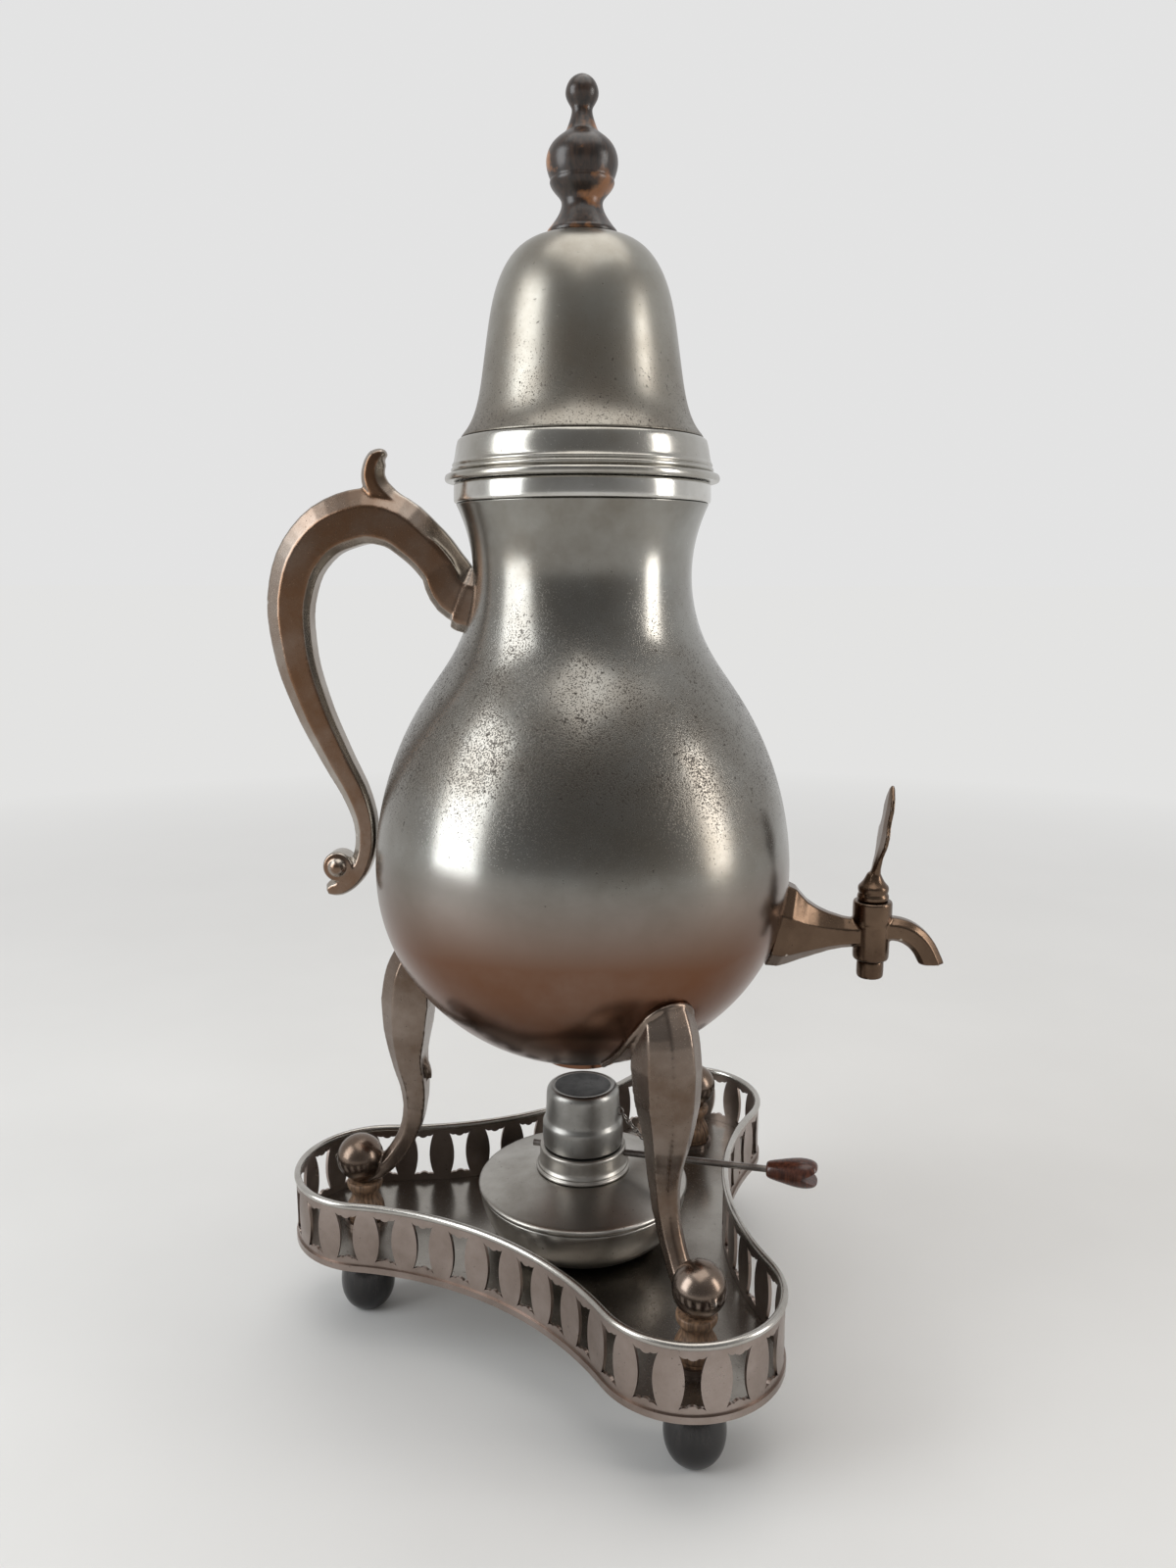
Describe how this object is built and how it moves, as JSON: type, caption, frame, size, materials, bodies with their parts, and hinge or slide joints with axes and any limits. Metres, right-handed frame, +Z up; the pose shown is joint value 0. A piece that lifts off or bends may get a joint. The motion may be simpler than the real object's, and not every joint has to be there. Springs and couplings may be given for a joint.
{
  "type": "tea urn with spirit burner",
  "caption": "Pear-shaped pewter tea urn with a lift-off bell lid, side tap and scroll handle, on legs over a spirit burner in a lobed gallery tray.",
  "frame": {"origin": "on the table top, where the urn's turned axis meets it", "axes": "+Z up along the urn's axis, +X towards the tap, -X towards the handle, +Y to the tap's left"},
  "size_m": [0.2464, 0.2034, 0.4482],
  "materials": {
    "pewter_urn": "aged satin pewter with pitting on the shoulder",
    "pewter_collar": "polished pewter",
    "pewter_lid": "aged satin pewter with dark spots",
    "pewter_legs": "worn bright cast pewter",
    "pewter_handle": "brown-tinted cast pewter",
    "pewter_tap": "brown-tinted cast pewter",
    "pewter_tray": "satin sheet pewter",
    "tray_wire": "bright rubbed wire",
    "black_wood": "glossy black-stained turned wood",
    "brown_wood": "worn turned wood",
    "finial_wood": "dark stained turned wood, worn through",
    "knob_wood": "dark red-brown polished turned wood",
    "pewter_burner": "light satin pewter",
    "iron_wire": "dark thin wire",
    "wick_cotton": "cotton wick",
    "fixing_steel": "plain turned steel"
  },
  "bodies": {
    "tray": {"tray_floor": "pewter_tray", "gallery_left": "pewter_tray", "gallery_front": "pewter_tray", "gallery_back": "pewter_tray", "rim_wire": "tray_wire", "tray_foot_left": "black_wood", "tray_foot_front": "black_wood", "tray_foot_back": "black_wood", "foot_studs": "fixing_steel", "spool_cups": "pewter_tray"},
    "urn": {"urn_base": "pewter_urn", "urn_body": "pewter_urn", "urn_neck": "pewter_urn", "neck_collar": "pewter_collar", "base_ring": "pewter_urn", "leg_left": "pewter_legs", "leg_front": "pewter_legs", "leg_back": "pewter_legs", "spool_left": "brown_wood", "spool_front": "brown_wood", "spool_back": "brown_wood", "spool_pins": "fixing_steel", "handle_socket": "pewter_handle", "handle": "pewter_handle", "tap_flange": "pewter_tap", "tap_body": "pewter_tap"},
    "tap": {"tap_plug": "pewter_tap", "tap_tail": "pewter_tap", "tap_key": "pewter_tap"},
    "lid": {"lid_rim": "pewter_lid", "lid_dome": "pewter_lid", "lid_bezel": "pewter_lid", "finial": "finial_wood", "finial_washer": "fixing_steel", "finial_screw": "fixing_steel"},
    "burner": {"burner_bowl": "pewter_burner", "burner_top": "pewter_burner", "burner_collar": "pewter_burner", "wick_tube": "pewter_burner", "wick": "wick_cotton", "burner_rod": "iron_wire", "rod_knob": "knob_wood", "rod_ring": "iron_wire", "cap_chain": "iron_wire"},
    "cap": {"burner_cap": "pewter_burner", "cap_eye": "pewter_burner"}
  },
  "joints": [
    {"name": "urn_lift", "type": "slide", "parent": "tray", "child": "urn", "axis": [0, 0, 1], "range_m": [0, 0.075]},
    {"name": "lid_lift", "type": "slide", "parent": "urn", "child": "lid", "axis": [0, 0, 1], "range_m": [0, 0.06]},
    {"name": "tap_turn", "type": "hinge", "parent": "urn", "child": "tap", "pos_m": [0.1055, 0, 0.1585], "axis": [0, 0, 1], "continuous": true},
    {"name": "burner_turn", "type": "hinge", "parent": "tray", "child": "burner", "pos_m": [0, 0, 0.036], "axis": [0, 0, 1], "range_deg": [-35, 35]},
    {"name": "cap_lift", "type": "slide", "parent": "burner", "child": "cap", "axis": [0, 0, 1], "range_m": [0, 0.008], "deforming": ["cap_chain"]}
  ]
}
